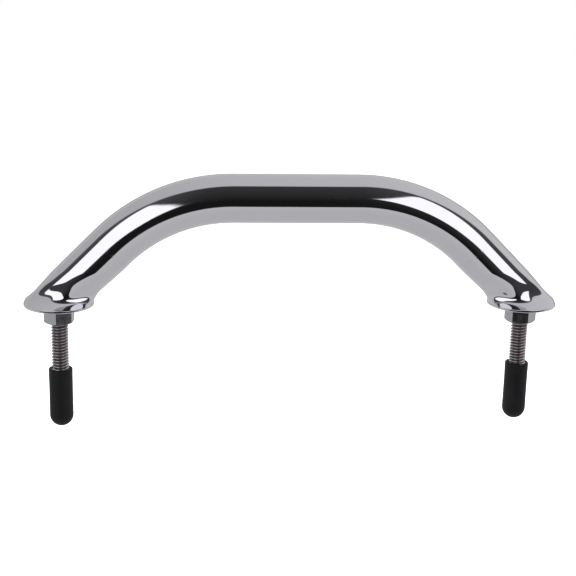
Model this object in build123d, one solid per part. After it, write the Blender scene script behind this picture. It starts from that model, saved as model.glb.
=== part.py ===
from build123d import *
import os
from math import cos, exp, hypot, pi, radians, sin, sqrt

# Grab rail for a boat deck: one bent tube, welded at each end to a flared casting that
# carries a threaded stud, with a washer, a nut and a soft thread cap on each stud.
# Millimetres. X runs along the rail, Z is up, and the origin is midway between the
# studs on the plane that the two base flanges rest on.

# ---- tube ------------------------------------------------------------------------------
tube_od = 22.225            # 7/8 inch
tube_wall = 1.5
grip_height = 49.4          # tube centreline above the deck
bend_radius = 76.2          # centreline radius of both bends, 3 inch
leg_angle = 45.0            # slope of the legs below the horizontal
leg_tail = 1.0              # straight tube between the bend and the weld

# ---- end castings ----------------------------------------------------------------------
stud_spacing = 213.5
flange_r = 15.9
flange_edge = 1.2           # height of the upright edge
flange_round = 0.4          # rounding where the edge meets the underside
rim_set_in = 0.12           # the flare starts this far inside the flange's edge
axes_cross = 2.6            # height where the leg's axis meets the stud's axis
axis_bend = 1.0             # how gently the neck's centre turns from one axis to the other
axis_start = 0.8            # height over which the centre leaves the stud's axis
neck_top = 17.5             # above this height the neck is a plain inclined cylinder
waist_x = 14.75             # half length of the waist, and the height it holds up to
waist_x_top = 4.0
waist_y = 9.75              # half width of the waist, and the height it holds up to
waist_y_top = 5.5
flare_x = 3.4               # reach and power of the flare, along the rail
flare_x_power = 2.9
flare_y = 1.5               # reach and power of the flare, across the rail
flare_y_power = 1.1
pinch = 0.1                 # the waist's corners are ground in by this share
pinch_at = 6.2              # most of all at this height
pinch_up = 7.4              # and not at all this far above it
pinch_down = 4.5            # or this far below it
pinch_middle = 0.5          # share of the pinch that falls midway between the axes
pinch_front = 0.85          # and the share that leans to the front and back
neck_levels = 14            # level sections through the flared neck,
neck_crowding = 1.4         # closer together towards the rim by this power
shank_levels = 4            # and through the plain shank above it
outline_points = 24         # points round each section

spigot_r = 9.5              # integral spigot that locates the tube for welding
spigot_length = 4.0
spigot_bore_r = 6.5         # cored, blind
spigot_bore_depth = 16.0

rim_land = 1.6              # width of the ring that meets the deck
boss_r = 9.4                # central land that the washer pulls against
recess_depth = 0.5          # room for bedding sealant between the two lands

# ---- weld ------------------------------------------------------------------------------
groove_depth = 1.1          # a V groove round the joint, filled and ground flush
groove_half = 0.9

# ---- fasteners, 5/16-18 UNC ------------------------------------------------------------
thread_lead = 25.4 / 18
stud_r = 3.95
stud_below = 54.0           # stud projection below the flange
stud_in_casting = 12.0
tap_runout = 0.5            # the tapped hole goes this much deeper than the stud
stud_point = 0.9            # 45 degree chamfer at both ends
thread_clearance = 0.05     # radial, nut and cap on the stud
tapped_clearance = 0.02     # radial, stud in the casting

washer_od = 17.46
washer_id = 8.73
washer_thick = 1.65
washer_edge = 0.2           # chamfer round the lower face
nut_across_flats = 12.7
nut_height = 6.75
nut_chamfer_r = 5.85        # where the corner chamfer starts on each end face
nut_chamfer_angle = 30.0
nut_blank_margin = 0.5      # the chamfering cone runs on this far outside the corners
nut_turn = {"left": 23.9, "right": -13.5}     # rest angle of one flat from -Y, towards +X

# ---- thread caps -----------------------------------------------------------------------
cap_r = 5.475
cap_length = 28.0
cap_bore_depth = 26.0
cap_mouth = {"left": -30.4, "right": -28.5}   # the right cap is fully home
cap_lip_round = 0.35

# ---- worked out ------------------------------------------------------------------------
tube_r = tube_od / 2
tube_bore_r = tube_r - tube_wall
slope = radians(leg_angle)
stud_x = stud_spacing / 2
neck_half_x = tube_r / sin(slope)             # an inclined cylinder's horizontal section
bend_end_z = grip_height - bend_radius * (1 - cos(slope))
bend_end_x = stud_x - (bend_end_z - axes_cross) / (sin(slope) / cos(slope))
grip_half = bend_end_x - bend_radius * sin(slope)
seam_x = bend_end_x + leg_tail * cos(slope)
seam_z = bend_end_z - leg_tail * sin(slope)
nut_top = -washer_thick
nut_bottom = nut_top - nut_height
sides = {"left": -1, "right": 1}


def on_side(part, side):
    """The part built on the right, or its mirror image on the left."""
    return part if side == "right" else mirror(part, about=Plane.YZ)


def seam_plane(offset=0.0):
    """Plane square to the right leg at the weld, its normal up the leg into the tube."""
    up_leg = Vector(-cos(slope), 0, sin(slope))
    at = Vector(seam_x, 0, seam_z) + up_leg * offset
    return Plane(origin=at, x_dir=(0, 1, 0), z_dir=up_leg)


def disc(radius, z_low, z_high, x=0.0):
    """An upright cylinder between two heights."""
    return Pos(x, 0, z_low) * Cylinder(
        radius, z_high - z_low, align=(Align.CENTER, Align.CENTER, Align.MIN)
    )


def weld_prep(plane):
    """The V groove's solid of revolution about the leg, sharp end inward."""
    half = Polyline(
        (tube_r, -groove_half), (tube_r - groove_depth, 0), (tube_r, groove_half), close=True
    )
    section = Plane(origin=plane.origin, x_dir=plane.x_dir, z_dir=plane.x_dir.cross(plane.z_dir))
    return revolve(section * make_face(half), axis=Axis(plane.origin, plane.z_dir))


def rail_tube():
    """Grip, two bends and two short straight legs, swept as one tube."""
    tail_end = Vector(seam_x, 0, seam_z)
    bend_end = Vector(bend_end_x, 0, bend_end_z)
    grip_end = Vector(grip_half, 0, grip_height)
    down_leg = (tail_end - bend_end).normalized()

    def flip(point):
        return Vector(-point.X, point.Y, point.Z)

    path = (
        Line(flip(tail_end), flip(bend_end))
        + TangentArc(flip(bend_end), flip(grip_end), tangent=flip(down_leg) * -1)
        + Line(flip(grip_end), grip_end)
        + TangentArc(grip_end, bend_end, tangent=(1, 0, 0))
        + Line(bend_end, tail_end)
    )
    start = Plane(origin=flip(tail_end), x_dir=(0, 1, 0), z_dir=flip(down_leg) * -1)
    ring = start * (Circle(tube_r) - Circle(tube_bore_r))
    tube = sweep(ring, path=path)
    for side in sides:
        tube -= on_side(weld_prep(seam_plane()), side)
    return tube


def neck_axis(z):
    """How far the neck's centre has moved off the stud's axis at height z."""
    def bent(height):
        rise = height - axes_cross
        return (rise + hypot(rise, axis_bend)) / 2 * cos(slope) / sin(slope)

    return bent(z) - bent(flange_edge) * exp((flange_edge - z) / axis_start)


def neck_half(z, waist, leg, waist_top, flare, power):
    """Half length or half width at height z: flared at the rim, waisted, then the leg's own."""
    settle = min(max((z - waist_top) / (neck_top - waist_top), 0), 1)
    plain = waist + (leg - waist) * settle * settle * (3 - 2 * settle)
    rim = flange_r - rim_set_in
    return plain + (rim - plain) * exp(-(((z - flange_edge) / flare) ** power))


def neck_section(z):
    """Level section of the neck at height z, its four corners pinched in at the waist."""
    half_x = neck_half(z, waist_x, neck_half_x, waist_x_top, flare_x, flare_x_power)
    half_y = neck_half(z, waist_y, tube_r, waist_y_top, flare_y, flare_y_power)
    away = (z - pinch_at) / (pinch_up if z > pinch_at else pinch_down)
    inset = pinch * max(0, 1 - away * away) ** 3
    points = []
    for k in range(outline_points):
        turn = 2 * pi * k / outline_points
        lean = pinch_middle + pinch_front * sin(turn) ** 2
        keep = 1 - inset * lean * sin(2 * turn) ** 2
        points.append((half_x * cos(turn) * keep, half_y * sin(turn) * keep))
    outline = make_face(Spline(points, periodic=True))
    return Plane(origin=(stud_x - neck_axis(z), 0, z)) * outline


def end_casting():
    """Right-hand casting: flange, flared neck, spigot, tapped hole and relieved underside."""
    flange = disc(flange_r, 0, flange_edge, stud_x)
    flange = fillet(flange.edges().group_by(Axis.Z)[0], flange_round)

    heights = [
        flange_edge + (neck_top - flange_edge) * (level / (neck_levels - 1)) ** neck_crowding
        for level in range(neck_levels)
    ]
    shank_top = seam_z + tube_r
    heights += [
        neck_top + (shank_top - neck_top) * level / shank_levels
        for level in range(1, shank_levels + 1)
    ]
    body = flange + loft([neck_section(z) for z in heights])
    body = split(body, bisect_by=seam_plane(), keep=Keep.BOTTOM)

    spigot = seam_plane() * Cylinder(
        spigot_r, spigot_length, align=(Align.CENTER, Align.CENTER, Align.MIN)
    )
    core_foot = seam_plane(spigot_length - spigot_bore_depth)
    core = core_foot * Cylinder(
        spigot_bore_r, spigot_bore_depth, align=(Align.CENTER, Align.CENTER, Align.MIN)
    )
    body = body + spigot - core - weld_prep(seam_plane())

    tapped_r = stud_r + tapped_clearance
    recess = disc(flange_r - rim_land, 0, recess_depth, stud_x) - disc(boss_r, 0, recess_depth, stud_x)
    return body - recess - disc(tapped_r, 0, stud_in_casting + tap_runout, stud_x)


def stud(side):
    """Threaded rod at its major diameter. The bare stretch between nut and cap is its own face."""
    profile = Polyline(
        (stud_r, nut_bottom),
        (stud_r, cap_mouth[side]),
        (stud_r, stud_point - stud_below),
        (stud_r - stud_point, -stud_below),
        (0, -stud_below),
        (0, stud_in_casting),
        (stud_r - stud_point, stud_in_casting),
        (stud_r, stud_in_casting - stud_point),
        close=True,
    )
    return revolve(Plane.XZ * make_face(profile), axis=Axis.Z, clean=False)


def washer():
    """Plain flat washer against the underside boss."""
    ring = disc(washer_od / 2, -washer_thick, 0) - disc(washer_id / 2, -washer_thick, 0)
    return chamfer(ring.edges().group_by(Axis.Z)[0].sort_by(SortBy.LENGTH)[-1], washer_edge)


def nut(side):
    """Hexagon nut with its corners turned back on both faces."""
    outline = RegularPolygon(nut_across_flats / 2, 6, major_radius=False, rotation=nut_turn[side])
    blank = extrude(Pos(0, 0, nut_bottom) * outline, amount=nut_height)
    corner_r = nut_across_flats / sqrt(3) + nut_blank_margin
    chamfer_slope = radians(nut_chamfer_angle)
    drop = (corner_r - nut_chamfer_r) * sin(chamfer_slope) / cos(chamfer_slope)
    profile = Polyline(
        (0, nut_bottom),
        (nut_chamfer_r, nut_bottom),
        (corner_r, nut_bottom + drop),
        (corner_r, nut_top - drop),
        (nut_chamfer_r, nut_top),
        (0, nut_top),
        close=True,
    )
    turned = revolve(Plane.XZ * make_face(profile), axis=Axis.Z)
    bore = disc(stud_r + thread_clearance, nut_bottom, nut_top)
    return (blank & turned) - bore


def thread_cap(side):
    """Soft cap with a round closed end and a thin rounded lip."""
    mouth = cap_mouth[side]
    body = disc(cap_r, mouth - cap_length + cap_r, mouth)
    body += Pos(0, 0, mouth - cap_length + cap_r) * Sphere(cap_r)
    bore = disc(stud_r + thread_clearance, mouth - cap_bore_depth, mouth)
    cap = body - bore
    return fillet(cap.edges().group_by(Axis.Z)[-1].sort_by(SortBy.LENGTH)[-1], cap_lip_round)


def build():
    """Every node of the rail, by name."""
    nodes = {"rail_tube": rail_tube()}
    casting = end_casting()
    weld = weld_prep(seam_plane())
    for side, sign in sides.items():
        at_stud = Pos(sign * stud_x, 0, 0)
        nodes[f"{side}_end_casting"] = on_side(casting, side)
        nodes[f"{side}_weld_ring"] = on_side(weld, side)
        nodes[f"{side}_stud"] = at_stud * stud(side)
        nodes[f"{side}_washer"] = at_stud * washer()
        nodes[f"{side}_nut"] = at_stud * nut(side)
        nodes[f"{side}_thread_cap"] = at_stud * thread_cap(side)
    return nodes


os.makedirs("parts", exist_ok=True)
for name, shape in build().items():
    export_step(shape, f"parts/{name}.step")
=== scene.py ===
import math

import bmesh
import bpy
from mathutils import Matrix, Vector


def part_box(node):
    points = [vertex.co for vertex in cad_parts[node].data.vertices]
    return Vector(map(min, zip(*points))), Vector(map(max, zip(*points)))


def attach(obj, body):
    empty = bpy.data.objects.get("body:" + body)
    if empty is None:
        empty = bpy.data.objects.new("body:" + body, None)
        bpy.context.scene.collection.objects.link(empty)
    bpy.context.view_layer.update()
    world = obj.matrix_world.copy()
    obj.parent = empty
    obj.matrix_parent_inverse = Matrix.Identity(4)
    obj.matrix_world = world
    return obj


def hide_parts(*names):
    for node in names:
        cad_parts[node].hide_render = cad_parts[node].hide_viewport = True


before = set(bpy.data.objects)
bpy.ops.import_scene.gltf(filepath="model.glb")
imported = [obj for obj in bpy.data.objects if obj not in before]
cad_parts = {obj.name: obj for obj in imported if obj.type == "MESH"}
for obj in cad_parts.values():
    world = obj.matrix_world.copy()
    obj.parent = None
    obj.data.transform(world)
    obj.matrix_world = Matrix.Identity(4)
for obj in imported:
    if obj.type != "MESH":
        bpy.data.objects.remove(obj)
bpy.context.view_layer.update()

MM = 0.001
TAU = 2 * math.pi
SIDES = {"left": -1, "right": 1}

# ---- sizes read from the frame -----------------------------------------------------------
tube_low, tube_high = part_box("rail_tube")
cast_low, cast_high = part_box("right_end_casting")
stud_low, stud_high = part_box("right_stud")
washer_low, washer_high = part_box("right_washer")
cap_boxes = {side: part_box(f"{side}_thread_cap") for side in SIDES}
TUBE_R = (tube_high.y - tube_low.y) / 2
GRIP_Z = tube_high.z - TUBE_R
FLANGE_R = (cast_high.y - cast_low.y) / 2
STUD_X = (stud_low.x + stud_high.x) / 2
STUD_R = (stud_high.x - stud_low.x) / 2
WASHER_R = (washer_high.x - washer_low.x) / 2
CAP_R = (cap_boxes["right"][1].y - cap_boxes["right"][0].y) / 2

# ---- sizes of the design that no box gives -----------------------------------------------
TUBE_WALL = 1.5 * MM
BEND_R = 76.2 * MM
SLOPE = math.radians(45)
LEG_TAIL = 1.0 * MM
FLANGE_EDGE = 1.2 * MM
FLANGE_ROUND = 0.4 * MM
RIM_SET_IN = 0.12 * MM
AXES_CROSS = 2.6 * MM
AXIS_BEND = 1.0 * MM
AXIS_START = 0.8 * MM
NECK_TOP = 17.5 * MM
WAIST_X = 14.75 * MM
WAIST_X_TOP = 4.0 * MM
WAIST_Y = 9.75 * MM
WAIST_Y_TOP = 5.5 * MM
FLARE_X = 3.4 * MM
FLARE_X_POWER = 2.9
FLARE_Y = 1.5 * MM
FLARE_Y_POWER = 1.1
PINCH = 0.1
PINCH_AT = 6.2 * MM
PINCH_UP = 7.4 * MM
PINCH_DOWN = 4.5 * MM
PINCH_MIDDLE = 0.5
PINCH_FRONT = 0.85
SPIGOT_R = 9.5 * MM
SPIGOT_LENGTH = 4.0 * MM
SPIGOT_BORE_R = 6.5 * MM
SPIGOT_BORE_DEPTH = 16.0 * MM
RIM_LAND = 1.6 * MM
BOSS_R = 9.4 * MM
RECESS = 0.5 * MM
TAP_R = 3.97 * MM
TAP_DEPTH = 12.5 * MM
GROOVE_DEPTH = 1.1 * MM
GROOVE_HALF = 0.9 * MM
THREAD_LEAD = 25.4 / 18 * MM
THREAD_DEPTH = 0.866 * MM
THREAD_CREST_R = 0.150 * MM
THREAD_ROOT_R = 0.206 * MM
STUD_POINT = 0.9 * MM
WASHER_HOLE_R = 4.365 * MM
NUT_FLATS = 12.7 * MM
NUT_CHAMFER_R = 5.85 * MM
NUT_CORNER_ROUND = 0.3 * MM
NUT_TURN = {"left": 23.9, "right": -13.5}
BORE_R = 4.0 * MM
CAP_BORE_DEPTH = 26.0 * MM
CAP_LIP_ROUND = 0.35 * MM

# ---- worked out --------------------------------------------------------------------------
BEND_END_Z = GRIP_Z - BEND_R * (1 - math.cos(SLOPE))
BEND_END_X = STUD_X - (BEND_END_Z - AXES_CROSS) / math.tan(SLOPE)
GRIP_HALF = BEND_END_X - BEND_R * math.sin(SLOPE)
SEAM_X = BEND_END_X + LEG_TAIL * math.cos(SLOPE)
SEAM_Z = BEND_END_Z - LEG_TAIL * math.sin(SLOPE)
CHAMFER_FALL = math.tan(math.radians(30))   # of the nut's corner chamfers
ROUND = 160                     # points around every tube and casting ring
SLACK = 0.05 * MM               # how far off its surface a face's centre may be

# ---- studio; directions are (azimuth, elevation) in degrees, as direction() takes them ----
LEFT_BOX = [
    (-10, 0.5), (-7, 10), (-16, 27), (-28, 39), (-42, 47.5), (-54, 50.5),
    (-61, 42), (-66, 20), (-66, -1),
]
RIGHT_BOX = [
    (11, 13), (18, 27), (29, 40), (42, 48.5), (56, 51.5), (63, 43),
    (66, 20), (66, -1), (22, 0), (15, 8),
]
SOFTBOX_GREY = 1.62
SOFTBOX_EDGE = 1.2              # how softly a softbox's edge fades, in degrees
FLOOR_HALF = 4.0
FLOOR_BELOW = 0.24              # under the studs' ends
FLOOR_GLOW = 0.45


# ---- node trees --------------------------------------------------------------------------
class Nodes:
    """A node tree with short calls for the few kinds of node used here."""

    def __init__(self, tree):
        self.tree = tree

    def add(self, kind, **settings):
        """A new node with the given settings."""
        node = self.tree.nodes.new(kind)
        for name, value in settings.items():
            setattr(node, name, value)
        return node

    def feed(self, socket, value):
        """Links another node's socket to this one, or sets a constant."""
        if isinstance(value, bpy.types.NodeSocket):
            self.tree.links.new(value, socket)
        else:
            socket.default_value = value

    def math(self, operation, a, b=0.0):
        """One arithmetic step."""
        node = self.add("ShaderNodeMath", operation=operation)
        self.feed(node.inputs[0], a)
        self.feed(node.inputs[1], b)
        return node.outputs[0]

    def spread(self, value, low, high, to_low=0.0, to_high=1.0, smooth=False):
        """The value carried from one range to another, held at both ends."""
        node = self.add("ShaderNodeMapRange")
        node.interpolation_type = "SMOOTHSTEP" if smooth else "LINEAR"
        for socket, number in zip(node.inputs, (value, low, high, to_low, to_high)):
            self.feed(socket, number)
        return node.outputs[0]

    def mix(self, amount, a, b):
        """Colour a turning into colour b."""
        node = self.add("ShaderNodeMix", data_type="RGBA")
        self.feed(node.inputs[0], amount)
        self.feed(node.inputs[6], a)
        self.feed(node.inputs[7], b)
        return node.outputs[2]

    def place(self, stretch=(1, 1, 1), turn=(0, 0, 0)):
        """Object coordinates, stretched and turned."""
        where = self.add("ShaderNodeTexCoord").outputs["Object"]
        node = self.add("ShaderNodeMapping")
        self.feed(node.inputs["Vector"], where)
        node.inputs["Scale"].default_value = stretch
        node.inputs["Rotation"].default_value = turn
        return node.outputs[0]

    def noise(self, where, size, detail=3.0, rough=0.5):
        """Noise whose features are about size metres across."""
        node = self.add("ShaderNodeTexNoise")
        self.feed(node.inputs["Vector"], where)
        node.inputs["Scale"].default_value = 1 / size
        node.inputs["Detail"].default_value = detail
        node.inputs["Roughness"].default_value = rough
        return node.outputs[0]

    def radius(self, x):
        """Distance from the upright axis of the stud at x."""
        where = self.add("ShaderNodeTexCoord").outputs["Object"]
        parts = self.add("ShaderNodeSeparateXYZ")
        self.feed(parts.inputs[0], where)
        across = self.math("SUBTRACT", parts.outputs[0], x)
        square = self.math("ADD", self.math("MULTIPLY", across, across),
                           self.math("MULTIPLY", parts.outputs[1], parts.outputs[1]))
        return self.math("SQRT", square)

    def bump(self, height, depth, after=None):
        """A relief of the given depth in metres."""
        node = self.add("ShaderNodeBump")
        node.inputs["Strength"].default_value = 1.0
        node.inputs["Distance"].default_value = depth
        self.feed(node.inputs["Height"], height)
        if after:
            self.feed(node.inputs["Normal"], after)
        return node.outputs[0]


def material(name, metallic, color, roughness, normal, nodes, gloss=0.5):
    """Finishes a material from sockets made with its own Nodes."""
    shader = nodes.add("ShaderNodeBsdfPrincipled")
    nodes.feed(shader.inputs["Metallic"], metallic)
    nodes.feed(shader.inputs["Base Color"], color)
    nodes.feed(shader.inputs["Roughness"], roughness)
    nodes.feed(shader.inputs["Normal"], normal)
    shader.inputs["Specular IOR Level"].default_value = gloss
    output = nodes.add("ShaderNodeOutputMaterial")
    nodes.feed(output.inputs[0], shader.outputs[0])
    return nodes.material


def start(name):
    """The empty node tree of a new material."""
    made = bpy.data.materials.new(name)
    made.use_nodes = True
    made.node_tree.nodes.clear()
    nodes = Nodes(made.node_tree)
    nodes.material = made
    return nodes


def polished_steel(name):
    """Mirror polished stainless with buffing haze, handling smudges and faint waves."""
    n = start(name)
    wide = n.noise(n.place(), 22 * MM, 4)
    fine = n.noise(n.place(), 1.6 * MM, 5, 0.6)
    lines = n.noise(n.place(stretch=(0.12, 1, 1), turn=(0, 0.4, 0.2)), 0.25 * MM, 2)
    color = n.mix(n.spread(wide, 0.35, 0.65), (0.594, 0.588, 0.628, 1), (0.612, 0.604, 0.642, 1))
    smear = n.spread(n.math("MULTIPLY", wide, fine), 0.12, 0.42, 0.035, 0.085)
    waves = n.bump(wide, 9e-6)
    relief = n.bump(lines, 2.5e-7, waves)
    return material(name, 1.0, color, smear, relief, n)


def ground_weld():
    """Weld metal ground and buffed flush, with ripples and cross scratches left in it."""
    n = start("ground_weld")
    ripple = n.noise(n.place(stretch=(1, 2.2, 1)), 2.2 * MM, 3)
    lines = n.noise(n.place(stretch=(1, 0.1, 1), turn=(0, 0.8, 0)), 0.18 * MM, 3)
    color = n.mix(n.spread(ripple, 0.3, 0.7), (0.57, 0.562, 0.596, 1), (0.61, 0.602, 0.636, 1))
    rough = n.spread(lines, 0.3, 0.7, 0.05, 0.14)
    relief = n.bump(lines, 6e-7, n.bump(ripple, 1.0e-5))
    return material("ground_weld", 1.0, color, rough, relief, n)


def drawn_bore():
    """The unpolished inside of drawn tube."""
    n = start("drawn_bore")
    lines = n.noise(n.place(stretch=(0.06, 1, 1)), 0.5 * MM, 4)
    stain = n.noise(n.place(), 9 * MM, 3)
    color = n.mix(n.spread(stain, 0.3, 0.7), (0.25, 0.235, 0.22, 1), (0.36, 0.35, 0.345, 1))
    return material("drawn_bore", 1.0, color, n.spread(lines, 0.2, 0.8, 0.32, 0.55),
                    n.bump(lines, 8e-6), n)


def cast_underside(side):
    """Faced lands with turning rings about the stud, and a grainy cast recess."""
    n = start(f"cast_underside_{side}")
    rings = n.math("SINE", n.math("MULTIPLY", n.radius(SIDES[side] * STUD_X), TAU / (0.22 * MM)))
    grain = n.noise(n.place(), 0.7 * MM, 5, 0.65)
    stain = n.noise(n.place(), 6 * MM, 3)
    color = n.mix(n.spread(stain, 0.3, 0.7), (0.36, 0.35, 0.355, 1), (0.46, 0.455, 0.47, 1))
    relief = n.bump(rings, 2.5e-6, n.bump(grain, 1.4e-5))
    return material(f"cast_underside_{side}", 1.0, color, n.spread(grain, 0.25, 0.75, 0.26, 0.46),
                    relief, n)


def rolled_thread(side):
    """Stainless thread, lightened on the crests as a painted highlight and darker brown towards the
    roots.
    """
    n = start(f"rolled_thread_{side}")
    radius = n.radius(SIDES[side] * STUD_X)
    patch = n.noise(n.place(), 1.1 * MM, 5, 0.62)
    # painted highlight: the colour runs from dark brown in the roots to light on the crests, with random
    # patches mixed in
    depth = n.spread(radius, STUD_R - THREAD_DEPTH, STUD_R - 0.05 * MM, 0, 1)
    crest_highlight_and_patches = n.math("ADD", n.math("MULTIPLY", depth, 0.72), n.math("MULTIPLY", patch, 0.4))
    color = n.mix(n.spread(crest_highlight_and_patches, 0.25, 0.95), (0.12, 0.092, 0.095, 1), (0.52, 0.48, 0.505, 1))
    rough = n.spread(crest_highlight_and_patches, 0.2, 1.0, 0.42, 0.15)
    lines = n.noise(n.place(stretch=(1, 1, 0.3)), 0.12 * MM, 2)
    relief = n.bump(lines, 2.0e-6, n.bump(patch, 1.2e-5))
    return material(f"rolled_thread_{side}", 1.0, color, rough, relief, n)


def stamped_washer(side):
    """Tumbled washer, dull, with a fine peened relief."""
    n = start(f"stamped_washer_{side}")
    peen = n.noise(n.place(), 0.45 * MM, 4, 0.6)
    stain = n.noise(n.place(), 4 * MM, 3)
    color = n.mix(n.spread(stain, 0.3, 0.7), (0.36, 0.355, 0.365, 1), (0.47, 0.465, 0.48, 1))
    return material(f"stamped_washer_{side}", 1.0, color, n.spread(peen, 0.25, 0.75, 0.2, 0.36),
                    n.bump(peen, 6e-6), n)


def turned_nut(side):
    """Nut bar: faint draw lines up the flats, turned chamfers."""
    n = start(f"turned_nut_{side}")
    lines = n.noise(n.place(stretch=(1, 1, 0.05)), 0.22 * MM, 4, 0.6)
    patch = n.noise(n.place(), 2.4 * MM, 4)
    color = n.mix(n.spread(patch, 0.3, 0.7), (0.385, 0.38, 0.405, 1), (0.43, 0.425, 0.45, 1))
    rough = n.spread(n.math("MULTIPLY", lines, patch), 0.1, 0.42, 0.13, 0.26)
    return material(f"turned_nut_{side}", 1.0, color, rough,
                    n.bump(lines, 2.4e-6, n.bump(patch, 8e-6)), n)


def black_vinyl():
    """Dip moulded black vinyl: satin, faintly orange peeled, with pale dust specks."""
    n = start("black_vinyl")
    peel = n.noise(n.place(), 0.5 * MM, 4, 0.55)
    bloom = n.noise(n.place(stretch=(1, 1, 0.5)), 5 * MM, 4)
    dust = n.spread(n.noise(n.place(), 0.3 * MM, 2), 0.72, 0.80)
    black = n.mix(n.spread(bloom, 0.3, 0.7), (0.0034, 0.0034, 0.0044, 1), (0.0056, 0.0056, 0.007, 1))
    color = n.mix(n.math("MULTIPLY", dust, 0.35), black, (0.03, 0.03, 0.032, 1))
    rough = n.spread(peel, 0.3, 0.7, 0.40, 0.56)
    return material("black_vinyl", 0.0, color, rough, n.bump(peel, 1.0e-5), n, gloss=0.16)


# ---- mesh helpers ------------------------------------------------------------------------
def piece(name, rings, body, node, materials, ends="fan", closed=True, sharp=40, pick=None):
    """A closed skin over rings of equal count, in order from one end to the other.

    ends is "fan" to close both ends, or "loop" to join the last ring to the first. closed is
    False where a ring's last point already lies on a first point. pick(face centre) gives the
    index of the face's material.
    """
    mesh = bpy.data.meshes.new(name)
    bm = bmesh.new()
    rows = [[bm.verts.new(p) for p in ring] for ring in rings]
    pairs = list(zip(rows, rows[1:]))
    if ends == "loop":
        pairs.append((rows[-1], rows[0]))
    steps = len(rows[0]) - (0 if closed else 1)
    for low, high in pairs:
        for k in range(steps):
            j = (k + 1) % len(low)
            bm.faces.new((low[k], low[j], high[j], high[k]))
    if ends == "fan":
        for row in (rows[0], rows[-1]):
            centre = bm.verts.new(sum((v.co for v in row[:steps]), Vector()) / steps)
            for k in range(steps):
                bm.faces.new((row[k], row[(k + 1) % len(row)], centre))
    bmesh.ops.remove_doubles(bm, verts=bm.verts, dist=1e-7)
    bmesh.ops.recalc_face_normals(bm, faces=bm.faces)
    for face in bm.faces:
        face.smooth = True
        if pick:
            face.material_index = int(pick(face.calc_center_median()))
    limit = math.radians(sharp)
    for edge in bm.edges:
        edge.smooth = len(edge.link_faces) != 2 or edge.calc_face_angle(0) < limit
    bm.to_mesh(mesh)
    bm.free()
    for item in materials:
        mesh.materials.append(item)
    obj = bpy.data.objects.new(name, mesh)
    bpy.context.scene.collection.objects.link(obj)
    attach(obj, body)
    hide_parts(node)
    return obj


def mirrored(rings, sign):
    """Rings built for the right side, for either side."""
    return [[Vector((sign * p.x, p.y, p.z)) for p in ring] for ring in rings]


def level_ring(radius, z, count):
    """A horizontal circle round the right stud."""
    return [
        Vector((STUD_X + radius * math.cos(TAU * k / count), radius * math.sin(TAU * k / count), z))
        for k in range(count)
    ]


def leg_ring(radius, up):
    """A ring square to the right leg, at a distance up the leg from the weld."""
    cx = SEAM_X - up * math.cos(SLOPE)
    cz = SEAM_Z + up * math.sin(SLOPE)
    ring = []
    for k in range(ROUND):
        phi = TAU * k / ROUND
        r = radius(phi) if callable(radius) else radius
        out = r * math.cos(phi)
        ring.append(Vector((cx + out * math.sin(SLOPE), r * math.sin(phi), cz + out * math.cos(SLOPE))))
    return ring


def turned(profile, count=96):
    """Rings round the right stud for a profile of (radius, height) points."""
    return [level_ring(r, z, count) for r, z in profile]


def spans(start_deg, end_deg, steps):
    """Angles in radians, in even steps from one to the other."""
    return [math.radians(start_deg + (end_deg - start_deg) * k / steps) for k in range(steps + 1)]


def arc(centre_r, centre_z, radius, start_deg, end_deg, steps=6):
    """Profile points along an arc; angles from outward horizontal."""
    return [(centre_r + radius * math.cos(a), centre_z + radius * math.sin(a))
            for a in spans(start_deg, end_deg, steps)]


def dip(a, b, seed):
    """A smooth value from 0 to 1, for the slight hollows that polishing leaves."""
    waves = (
        math.sin(1.00 * a + 2.0 * math.sin(b) + seed)
        + math.sin(2.30 * a - b + 1.7 * seed)
        + math.sin(0.61 * a + 3 * b + 2.9 * seed)
    )
    return 0.5 + waves / 6


# ---- rail tube ---------------------------------------------------------------------------
def tube_stations():
    """Centreline points (x, z, tilt) from weld to weld; tilt turns the ring from upright."""
    grip_steps, bend_steps, tail_steps = 15, 60, 8
    right = [(GRIP_HALF * k / grip_steps, GRIP_Z, 0.0) for k in range(grip_steps)]
    for k in range(bend_steps + 1):
        tilt = SLOPE * k / bend_steps
        right.append(
            (GRIP_HALF + BEND_R * math.sin(tilt), GRIP_Z - BEND_R * (1 - math.cos(tilt)), tilt)
        )
    tail = LEG_TAIL - GROOVE_HALF
    for k in range(1, tail_steps + 1):
        down = tail * k / tail_steps
        right.append((BEND_END_X + down * math.cos(SLOPE), BEND_END_Z - down * math.sin(SLOPE), SLOPE))
    left = [(-x, z, -tilt) for x, z, tilt in reversed(right[1:])]
    return left + right


def station_ring(x, z, tilt, radius):
    """One ring of the swept tube; radius(phi) is measured from the centreline."""
    ring = []
    for k in range(ROUND):
        phi = TAU * k / ROUND
        r = radius(phi)
        out = r * math.cos(phi)
        ring.append(Vector((x + out * math.sin(tilt), r * math.sin(phi), z + out * math.cos(tilt))))
    return ring


def rail_tube():
    """The bent tube: outer skin, bevels at the welds and the bore."""
    hollow_depth, hollow_pitch, hollow_seed = 0.02 * MM, 7 * MM, 0.4
    bore_every = 6
    bore_r = TUBE_R - TUBE_WALL
    stations = tube_stations()

    def polished(x):
        return lambda phi: TUBE_R - hollow_depth * dip(x / hollow_pitch, phi, hollow_seed)

    outer = [station_ring(x, z, tilt, polished(x)) for x, z, tilt in stations]
    bore = [station_ring(x, z, tilt, lambda phi: bore_r) for x, z, tilt in stations[::bore_every]]
    ends = {
        side: mirrored([leg_ring(TUBE_R - GROOVE_DEPTH, 0), leg_ring(bore_r, 0)], sign)
        for side, sign in SIDES.items()
    }
    rings = outer + ends["right"] + bore[::-1] + ends["left"][::-1]

    return piece("rail_tube_skin", rings, "rail", "rail_tube",
                 [polished_steel("polished_tube"), drawn_bore()], ends="loop", pick=inside_bore)


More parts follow.
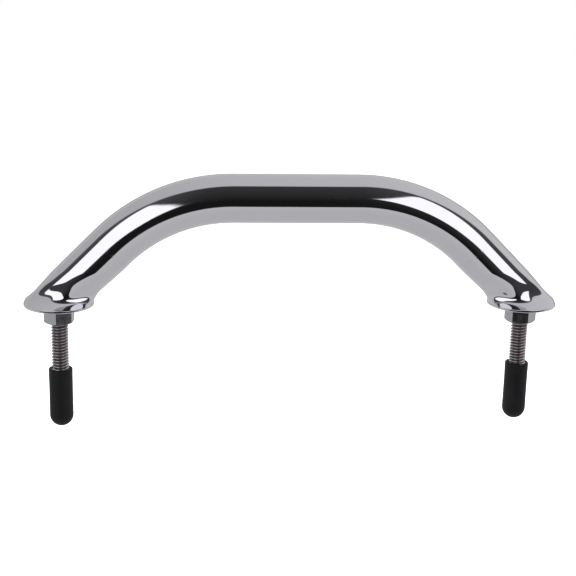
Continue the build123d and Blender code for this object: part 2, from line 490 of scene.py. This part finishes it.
def inside_bore(point):
    """True within the tube's bore, measured from the bent centreline."""
    x = abs(point.x)
    if x < GRIP_HALF:
        off = point.z - GRIP_Z
    elif (x - GRIP_HALF) * math.cos(SLOPE) < (point.z - GRIP_Z + BEND_R) * math.sin(SLOPE):
        off = math.hypot(x - GRIP_HALF, point.z - GRIP_Z + BEND_R) - BEND_R
    else:
        off = (x - BEND_END_X) * math.sin(SLOPE) + (point.z - BEND_END_Z) * math.cos(SLOPE)
    return math.hypot(off, point.y) < TUBE_R - TUBE_WALL + SLACK


# ---- end castings and welds --------------------------------------------------------------
def neck_axis(z):
    """How far the neck's centre has moved off the stud's axis at a height."""
    def bent(height):
        rise = height - AXES_CROSS
        return (rise + math.hypot(rise, AXIS_BEND)) / 2 / math.tan(SLOPE)

    return bent(z) - bent(FLANGE_EDGE) * math.exp((FLANGE_EDGE - z) / AXIS_START)


def neck_half(z, rim, waist, leg, waist_top, flare, power):
    """Half a neck section's length or width: flared at the rim, waisted, then the leg's own."""
    settle = min(max((z - waist_top) / (NECK_TOP - waist_top), 0), 1)
    plain = waist + (leg - waist) * settle * settle * (3 - 2 * settle)
    return plain + (rim - plain) * math.exp(-(((z - FLANGE_EDGE) / flare) ** power))


def neck_ring(z):
    """A level section of the flared neck, its four corners pinched in below the leg."""
    rim = FLANGE_R - RIM_SET_IN
    half_x = neck_half(z, rim, WAIST_X, TUBE_R / math.sin(SLOPE), WAIST_X_TOP, FLARE_X, FLARE_X_POWER)
    half_y = neck_half(z, rim, WAIST_Y, TUBE_R, WAIST_Y_TOP, FLARE_Y, FLARE_Y_POWER)
    away = (z - PINCH_AT) / (PINCH_UP if z > PINCH_AT else PINCH_DOWN)
    pinch = PINCH * max(0, 1 - away * away) ** 3
    centre = STUD_X - neck_axis(z)
    ring = []
    for k in range(ROUND):
        turn = TAU * k / ROUND
        lean = PINCH_MIDDLE + PINCH_FRONT * math.sin(turn) ** 2
        keep = 1 - pinch * lean * math.sin(2 * turn) ** 2
        ring.append(Vector((
            centre + half_x * math.cos(turn) * keep, half_y * math.sin(turn) * keep, z,
        )))
    return ring


def between(low, high, steps):
    """Rings evenly placed after low, up to high."""
    return [
        [a.lerp(b, k / steps) for a, b in zip(low, high)]
        for k in range(1, steps + 1)
    ]


def end_casting(side):
    """Spigot, shoulder, shank, flared neck, flange, relieved underside and tapped hole."""
    soft, edge, bevel, polish_ends = 0.4 * MM, 0.15 * MM, 0.1 * MM, 0.12 * MM
    shank_steps, levels, crowding = 10, 64, 1.4
    land_r = FLANGE_R - RIM_LAND
    foot = SPIGOT_LENGTH - SPIGOT_BORE_DEPTH
    rings = [
        leg_ring(SPIGOT_BORE_R, foot),
        leg_ring(SPIGOT_BORE_R, SPIGOT_LENGTH - soft),
        leg_ring(SPIGOT_BORE_R + soft, SPIGOT_LENGTH),
        leg_ring(SPIGOT_R - soft, SPIGOT_LENGTH),
        leg_ring(SPIGOT_R, SPIGOT_LENGTH - soft),
        leg_ring(SPIGOT_R, 0),
        leg_ring(TUBE_R - GROOVE_DEPTH, 0),
        leg_ring(TUBE_R, -GROOVE_HALF),
    ]
    rings += between(rings[-1], neck_ring(NECK_TOP), shank_steps)
    for k in range(1, levels + 1):
        share = (1 - k / levels) ** crowding
        rings.append(neck_ring(FLANGE_EDGE + (NECK_TOP - FLANGE_EDGE) * share))
    profile = arc(FLANGE_R - edge, FLANGE_EDGE - edge, edge, 75, 0, 4)
    profile += arc(FLANGE_R - FLANGE_ROUND, FLANGE_ROUND, FLANGE_ROUND, 0, -90, 8)
    profile += [(land_r + bevel, 0), (land_r, bevel), (land_r, RECESS), (BOSS_R, RECESS)]
    profile += [(BOSS_R, bevel), (BOSS_R - bevel, 0), (TAP_R + soft, 0), (TAP_R, soft)]
    profile += [(TAP_R, TAP_DEPTH)]
    rings += turned(profile, ROUND)

    def pick(centre):
        below = centre.z < polish_ends or from_stud(centre) < land_r - SLACK
        return below and centre.z < RECESS + SLACK or under_neck(centre)

    return piece(f"{side}_end_casting_skin", mirrored(rings, SIDES[side]), "rail", f"{side}_end_casting",
                 [polished_steel(f"polished_casting_{side}"), cast_underside(side)],
                 pick=pick)


def from_stud(point):
    """Distance from the nearer stud's axis."""
    return math.hypot(abs(point.x) - STUD_X, point.y)


def under_neck(point):
    """True in the tapped hole, and in or on the spigot, where nothing is polished."""
    off = (abs(point.x) - SEAM_X) * math.sin(SLOPE) + (point.z - SEAM_Z) * math.cos(SLOPE)
    up = (point.z - SEAM_Z) * math.sin(SLOPE) - (abs(point.x) - SEAM_X) * math.cos(SLOPE)
    on_spigot = math.hypot(off, point.y) < SPIGOT_R + SLACK
    above_foot = up > SPIGOT_LENGTH - SPIGOT_BORE_DEPTH - SLACK
    in_tap = from_stud(point) < TAP_R + SLACK and point.z < TAP_DEPTH + SLACK
    return on_spigot and above_foot or in_tap


def weld_ring(side):
    """Filler in the V groove, ground flush but for faint ripples."""
    hump_height, ripples, ripple_seed, ground_off = 0.012 * MM, 9, 2.0, 0.6
    steps = 8

    def crown(share):
        hump = hump_height * (1 - share * share)
        return lambda phi: TUBE_R + hump * (dip(ripples * phi, share, ripple_seed) - ground_off)

    shares = [-1 + 2 * k / steps for k in range(steps + 1)]
    rings = [leg_ring(crown(s), s * GROOVE_HALF) for s in shares]
    rings.append(leg_ring(TUBE_R - GROOVE_DEPTH, 0))
    return piece(f"{side}_weld_ring_skin", mirrored(rings, SIDES[side]), "rail", f"{side}_weld_ring",
                 [WELD], ends="loop")


# ---- fasteners ---------------------------------------------------------------------------
def stud(side):
    """A rod with a right-hand helical thread and chamfered ends."""
    low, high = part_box(f"{side}_stud")
    crest, root = THREAD_CREST_R, THREAD_ROOT_R
    rounding = spans(-60, 60, 4)
    shape = [(crest * math.sin(a), crest * (1 - math.cos(a))) for a in rounding]
    shape += [(THREAD_LEAD / 2 + root * math.sin(a), THREAD_DEPTH - root * (1 - math.cos(a)))
              for a in rounding]
    around = 60
    turns = math.ceil((high.z - low.z) / THREAD_LEAD)
    rings = []
    for turn in range(-1, turns + 1):
        for along, cut in shape:
            ring = []
            for k in range(around + 1):
                z = low.z + (turn + k / around) * THREAD_LEAD + along
                z = min(max(z, low.z), high.z)
                end_r = STUD_R - STUD_POINT + min(z - low.z, high.z - z)
                r = min(STUD_R - cut, end_r)
                a = TAU * k / around
                ring.append(Vector((STUD_X + r * math.cos(a), r * math.sin(a), z)))
            rings.append(ring)
    return piece(f"{side}_stud_thread", moved_stud(rings, side), "rail", f"{side}_stud",
                 [rolled_thread(side)], closed=False, sharp=50)


def moved_stud(rings, side):
    """The thread moved to its side, because a mirror image would be left-handed."""
    shift = Vector(((SIDES[side] - 1) * STUD_X, 0, 0))
    return [[p + shift for p in ring] for ring in rings]


def washer(side):
    """A stamped washer with rounded outer edges and an eased hole."""
    low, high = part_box(f"{side}_washer")
    soft = 0.2 * MM
    profile = [(WASHER_HOLE_R + soft / 2, high.z), (WASHER_R - soft, high.z)]
    profile += arc(WASHER_R - soft, high.z - soft, soft, 90, 0, 5)
    profile += arc(WASHER_R - soft, low.z + soft, soft, 0, -90, 5)
    profile += [(WASHER_HOLE_R + soft / 2, low.z), (WASHER_HOLE_R, low.z + soft / 2)]
    profile += [(WASHER_HOLE_R, high.z - soft / 2)]
    return piece(f"{side}_washer_skin", mirrored(turned(profile), SIDES[side]), f"{side}_washer_body",
                 f"{side}_washer", [stamped_washer(side)], ends="loop")


def hex_points(turn_deg):
    """Outline of a hexagon with slightly rounded corners, as (angle, radius) from its centre."""
    apothem = NUT_FLATS / 2
    corner = apothem / math.cos(TAU / 12)
    pull = NUT_CORNER_ROUND / math.cos(TAU / 12)
    flat_steps, corner_steps = 8, 6
    points = []
    for flat in range(6):
        facing = math.radians(turn_deg) + TAU * flat / 6 - TAU / 4
        half = math.tan(TAU / 12) * (apothem - NUT_CORNER_ROUND)
        for k in range(flat_steps + 1):
            along = half * (2 * k / flat_steps - 1)
            points.append((facing + math.atan2(along, apothem), math.hypot(apothem, along)))
        middle = facing + TAU / 12
        cx = (corner - pull) * math.cos(middle)
        cy = (corner - pull) * math.sin(middle)
        for k in range(1, corner_steps):
            a = facing + TAU / 6 * k / corner_steps
            x = cx + NUT_CORNER_ROUND * math.cos(a)
            y = cy + NUT_CORNER_ROUND * math.sin(a)
            points.append((math.atan2(y, x), math.hypot(x, y)))
    return points


def nut(side):
    """A hexagon nut with 30 degree corner chamfers and countersunk thread mouths."""
    low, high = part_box(f"{side}_nut")
    outline = hex_points(NUT_TURN[side])
    centre = SIDES[side] * STUD_X

    def ring(radius, height):
        """radius and height are numbers, or functions of the outline's own radius."""
        points = []
        for angle, full in outline:
            r = radius(full) if callable(radius) else radius
            z = height(full) if callable(height) else height
            points.append(Vector((centre + r * math.cos(angle), r * math.sin(angle), z)))
        return points

    def fall(full):
        return (full - NUT_CHAMFER_R) * CHAMFER_FALL

    sink = 0.35 * MM
    soft = 0.06 * MM
    rings = [
        ring(BORE_R, low.z + sink),
        ring(BORE_R + sink, low.z),
        ring(NUT_CHAMFER_R - soft, low.z),
        ring(NUT_CHAMFER_R + soft, lambda full: low.z + soft * CHAMFER_FALL),
        ring(lambda full: full - soft, lambda full: low.z + fall(full - soft)),
        ring(lambda full: full, lambda full: low.z + fall(full) + soft),
        ring(lambda full: full, lambda full: high.z - fall(full) - soft),
        ring(lambda full: full - soft, lambda full: high.z - fall(full - soft)),
        ring(NUT_CHAMFER_R + soft, lambda full: high.z - soft * CHAMFER_FALL),
        ring(NUT_CHAMFER_R - soft, high.z),
        ring(BORE_R + sink, high.z),
        ring(BORE_R, high.z - sink),
    ]
    return piece(f"{side}_nut_skin", rings, f"{side}_nut_body", f"{side}_nut",
                 [turned_nut(side)], ends="loop", sharp=24)


def thread_cap(side):
    """A soft cap with a rolled lip, a faintly drawn-in barrel and a round end."""
    low, high = cap_boxes[side]
    outer_round, drawn_in, barrel_steps, pole = 0.5 * MM, 0.05 * MM, 24, 0.02 * MM
    profile = [(pole, high.z - CAP_BORE_DEPTH), (BORE_R, high.z - CAP_BORE_DEPTH)]
    profile += [(BORE_R, high.z - CAP_LIP_ROUND)]
    profile += arc(BORE_R + CAP_LIP_ROUND, high.z - CAP_LIP_ROUND, CAP_LIP_ROUND, 180, 90, 5)
    barrel_high = high.z - outer_round
    barrel_low = low.z + CAP_R
    profile += arc(CAP_R - outer_round, barrel_high, outer_round, 90, 0, 6)
    for k in range(1, barrel_steps):
        share = k / barrel_steps
        z = barrel_high + (barrel_low - barrel_high) * share
        profile.append((CAP_R - drawn_in * math.sin(math.pi * share), z))
    profile += arc(0, barrel_low, CAP_R, 0, -88, 22)
    return piece(f"{side}_thread_cap_skin", mirrored(turned(profile), SIDES[side]), f"{side}_cap_body",
                 f"{side}_thread_cap", [VINYL])


# ---- studio ------------------------------------------------------------------------------
def direction(azimuth, elevation):
    """Unit vector; azimuth 0 looks out in front of the rail and grows towards +X."""
    a = math.radians(azimuth)
    e = math.radians(elevation)
    return Vector((math.sin(a) * math.cos(e), -math.cos(a) * math.cos(e), math.sin(e)))


def beyond(n, ray, first, second, inside, soft):
    """1 on the inside's side of the plane through two directions, 0 on the other."""
    normal = direction(*first).cross(direction(*second)).normalized()
    if normal.dot(direction(*inside)) < 0:
        normal = -normal
    dot = n.add("ShaderNodeVectorMath", operation="DOT_PRODUCT")
    n.feed(dot.inputs[0], ray)
    dot.inputs[1].default_value = normal
    width = math.sin(math.radians(soft))
    return n.spread(dot.outputs["Value"], -width, width, smooth=True)


def all_of(n, masks):
    """Product of masks."""
    total = masks[0]
    for mask in masks[1:]:
        total = n.math("MULTIPLY", total, mask)
    return total


def panel(n, ray, corners, inside, soft):
    """A convex lit panel with the given corners."""
    edges = zip(corners, corners[1:] + corners[:1])
    return all_of(n, [beyond(n, ray, a, b, inside, soft) for a, b in edges])


def blended(n, amount, low, high):
    """low to high by amount."""
    gap = n.math("SUBTRACT", high, low)
    return n.math("ADD", low, n.math("MULTIPLY", gap, amount))


def surroundings():
    """A white tent with a dark opening in front, and two softboxes standing in the opening."""
    world = bpy.data.worlds.new("studio")
    world.use_nodes = True
    world.node_tree.nodes.clear()
    bpy.context.scene.world = world
    n = Nodes(world.node_tree)
    ray = n.add("ShaderNodeTexCoord").outputs["Generated"]
    parts = n.add("ShaderNodeSeparateXYZ")
    n.feed(parts.inputs[0], ray)
    across, depth, height = parts.outputs
    sideways = n.math("ABSOLUTE", across)
    level = n.math("ABSOLUTE", height)

    # the tent's cloth and the table dim towards the far end
    far = n.math("MULTIPLY", n.spread(depth, 0.5, 0.95), n.spread(level, 0.40, 0.05))
    dimmed = n.spread(far, 0, 1, 1.0, 0.55)

    # the dark room that the opening shows, a little lighter upwards and to the sides
    haze = n.math("MULTIPLY", n.spread(sideways, 0.12, 0.6), 0.05)
    room = n.math("ADD", n.spread(height, 0.0, 0.9, 0.0125, 0.053), haze)

    tent = n.math("MULTIPLY", n.spread(across, -0.6, 0.9, 0.62, 0.82), dimmed)
    table = n.math("MULTIPLY", n.spread(height, -0.45, -0.85, 0.74, 0.67), dimmed)

    # the opening's top and sides, then the table's front edge
    cloth = all_of(n, [
        beyond(n, ray, (-30, 65), (30, 68), (0, 85), 3.0),
        beyond(n, ray, (-78, 45), (-45, 62), (-110, 45), 4.0),
        beyond(n, ray, (55, 60), (84, 36), (110, 45), 4.0),
    ])
    on_table = beyond(n, ray, (-86, 0), (4, -28), (4, -80), 0.8)

    left_box = panel(n, ray, LEFT_BOX, (-35, 25), SOFTBOX_EDGE)
    right_box = panel(n, ray, RIGHT_BOX, (38, 25), SOFTBOX_EDGE)
    grey = blended(n, cloth, room, tent)
    grey = blended(n, on_table, grey, table)
    grey = blended(n, n.math("MAXIMUM", left_box, right_box), grey, SOFTBOX_GREY)

    # white behind the rail, as the camera sees it directly
    direct = n.add("ShaderNodeLightPath").outputs["Is Camera Ray"]
    background = n.add("ShaderNodeBackground")
    background.inputs[0].default_value = (1, 1, 1, 1)
    n.feed(background.inputs[1], blended(n, direct, grey, 1.0))
    output = n.add("ShaderNodeOutputWorld")
    n.feed(output.inputs[0], background.outputs[0])


def floor():
    """A pale table top well below the rail, lit a little from within so that it stays white."""
    n = start("pale_floor")
    fibre = n.noise(n.place(), 3 * MM, 4)
    color = n.mix(fibre, (0.93, 0.93, 0.93, 1), (0.96, 0.96, 0.96, 1))
    made = material("pale_floor", 0.0, color, 0.9, n.bump(fibre, 2e-5), n)
    shader = made.node_tree.nodes["Principled BSDF"]
    shader.inputs["Emission Color"].default_value = (1, 1, 1, 1)
    shader.inputs["Emission Strength"].default_value = FLOOR_GLOW
    mesh = bpy.data.meshes.new("floor")
    height = stud_low.z - FLOOR_BELOW
    signs = ((-1, -1), (1, -1), (1, 1), (-1, 1))
    corners = [(x * FLOOR_HALF, y * FLOOR_HALF, height) for x, y in signs]
    mesh.from_pydata(corners, [], [(0, 1, 2, 3)])
    mesh.materials.append(made)
    obj = bpy.data.objects.new("floor", mesh)
    bpy.context.scene.collection.objects.link(obj)
    obj.visible_glossy = False


def overhead_light():
    """A large soft light above."""
    lamp = bpy.data.lights.new("overhead", "AREA")
    lamp.shape = "RECTANGLE"
    lamp.size = 2.4
    lamp.size_y = 2.4
    lamp.energy = 60
    obj = bpy.data.objects.new("overhead", lamp)
    obj.location = (0, 0, 1.6)
    obj.visible_glossy = False
    bpy.context.scene.collection.objects.link(obj)


def camera():
    """A level product shot from a little above, off centre by a few degrees."""
    azimuth, elevation, roll = math.radians(-4.97), math.radians(15.60), math.radians(1.30)
    target = Vector((-2.63 * MM, 0, 7.62 * MM))
    distance = 596.4 * MM
    back = Vector((math.sin(azimuth) * math.cos(elevation), -math.cos(azimuth) * math.cos(elevation),
                   math.sin(elevation)))
    right = Vector((math.cos(azimuth), math.sin(azimuth), 0))
    up = back.cross(right)
    across = right * math.cos(roll) + up * math.sin(roll)
    above = up * math.cos(roll) - right * math.sin(roll)
    shot = bpy.data.cameras.new("camera")
    shot.lens = 81.24
    shot.sensor_width = 36
    shot.clip_start = 0.01
    obj = bpy.data.objects.new("camera", shot)
    turn = Matrix((across, above, back)).transposed().to_4x4()
    obj.matrix_world = Matrix.Translation(target + back * distance) @ turn
    bpy.context.scene.collection.objects.link(obj)
    bpy.context.scene.camera = obj


WELD = ground_weld()
VINYL = black_vinyl()
rail_tube()
for side in SIDES:
    end_casting(side)
    weld_ring(side)
    stud(side)
    washer(side)
    nut(side)
    thread_cap(side)
surroundings()
floor()
overhead_light()
camera()
bpy.context.scene.view_settings.view_transform = "Standard"
